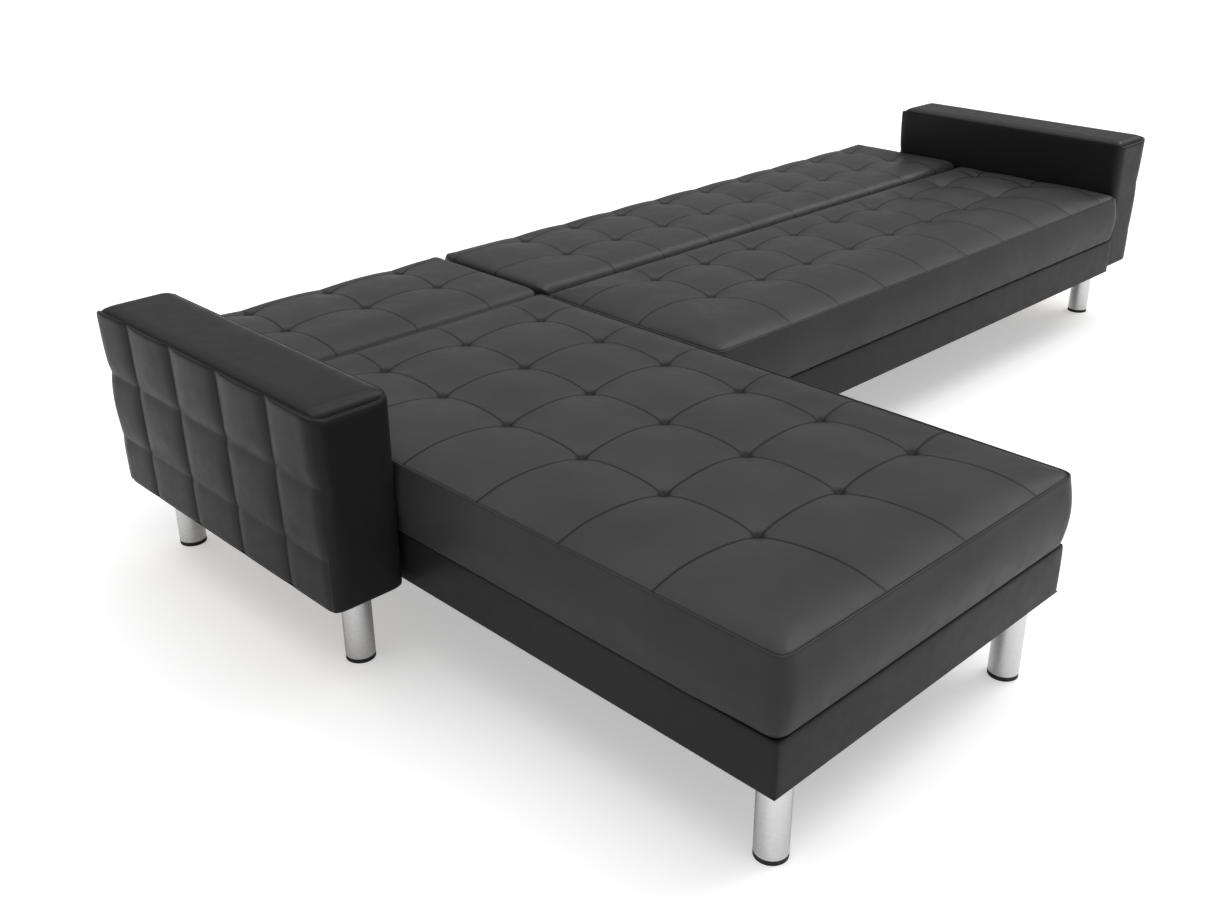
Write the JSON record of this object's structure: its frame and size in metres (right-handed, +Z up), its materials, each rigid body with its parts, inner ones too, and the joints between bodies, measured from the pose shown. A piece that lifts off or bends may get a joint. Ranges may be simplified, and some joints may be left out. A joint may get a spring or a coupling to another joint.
{
  "type": "sofa bed",
  "caption": "Low corner sofa bed with a chaise, tufted faux leather cushions, click-clack backs that fold flat into a bed, padded arms and round chrome legs.",
  "frame": {"origin": "on the floor, under the middle of the whole outline with both backs lying flat", "axes": "+X along the sofa towards the right arm as a sitter's viewer sees it from the front, -Y towards the front where the chaise points, +Z up"},
  "size_m": [2.638, 1.591, 0.489],
  "materials": {
    "cushion_leather": "satin",
    "cover_leather": "satin",
    "lining_fabric": "matte",
    "frame_wood": "matte",
    "hardware_steel": "satin",
    "leg_chrome": "polished",
    "glide_plastic": "matte"
  },
  "bodies": {
    "base": {"chaise_base_cover": "cover_leather", "chaise_cross_rail": "frame_wood", "chaise_dust_liner": "lining_fabric", "chaise_front_left_leg": "leg_chrome", "chaise_front_rail": "frame_wood", "chaise_front_right_leg": "leg_chrome", "chaise_hinge_left_seat_plate": "hardware_steel", "chaise_hinge_right_seat_plate": "hardware_steel", "chaise_left_rail": "frame_wood", "chaise_rear_rail": "frame_wood", "chaise_right_rail": "frame_wood", "chaise_seat_cushion": "cushion_leather", "chaise_slats": "frame_wood", "connector_bolts": "hardware_steel", "corner_blocks": "frame_wood", "hinge_rivets": "hardware_steel", "left_arm_core": "frame_wood", "left_arm_front_leg": "leg_chrome", "left_arm_front_pad": "cover_leather", "left_arm_inner_panel": "cover_leather", "left_arm_outer_panel": "cover_leather", "left_arm_rear_leg": "leg_chrome", "left_arm_rear_pad": "cover_leather", "left_arm_top_pad": "cover_leather", "leg_glides": "glide_plastic", "leg_plates": "hardware_steel", "main_base_cover": "cover_leather", "main_cross_rail": "frame_wood", "main_dust_liner": "lining_fabric", "main_front_rail": "frame_wood", "main_hinge_left_seat_plate": "hardware_steel", "main_hinge_right_seat_plate": "hardware_steel", "main_left_rail": "frame_wood", "main_rear_rail": "frame_wood", "main_right_rail": "frame_wood", "main_seat_cushion": "cushion_leather", "main_slats": "frame_wood", "middle_front_leg": "leg_chrome", "middle_rear_leg": "leg_chrome", "right_arm_core": "frame_wood", "right_arm_front_leg": "leg_chrome", "right_arm_front_pad": "cover_leather", "right_arm_inner_panel": "cover_leather", "right_arm_outer_panel": "cover_leather", "right_arm_rear_leg": "leg_chrome", "right_arm_rear_pad": "cover_leather", "right_arm_top_pad": "cover_leather", "wood_screws": "hardware_steel"},
    "chaise_back": {"chaise_back_cushion": "cushion_leather", "chaise_back_frame": "frame_wood", "chaise_back_hinge_fixings": "hardware_steel", "chaise_back_lining": "lining_fabric", "chaise_hinge_left_back_plate": "hardware_steel", "chaise_hinge_right_back_plate": "hardware_steel"},
    "main_back": {"main_back_cushion": "cushion_leather", "main_back_frame": "frame_wood", "main_back_hinge_fixings": "hardware_steel", "main_back_lining": "lining_fabric", "main_hinge_left_back_plate": "hardware_steel", "main_hinge_right_back_plate": "hardware_steel"}
  },
  "joints": [
    {"name": "chaise_back_recline", "type": "hinge", "parent": "base", "child": "chaise_back", "pos_m": [-0.8105, 0.4675, 0.325], "axis": [1, 0, 0], "range_deg": [0, 78]},
    {"name": "main_back_recline", "type": "hinge", "parent": "base", "child": "main_back", "pos_m": [0.3625, 0.4675, 0.325], "axis": [1, 0, 0], "range_deg": [0, 78]}
  ]
}
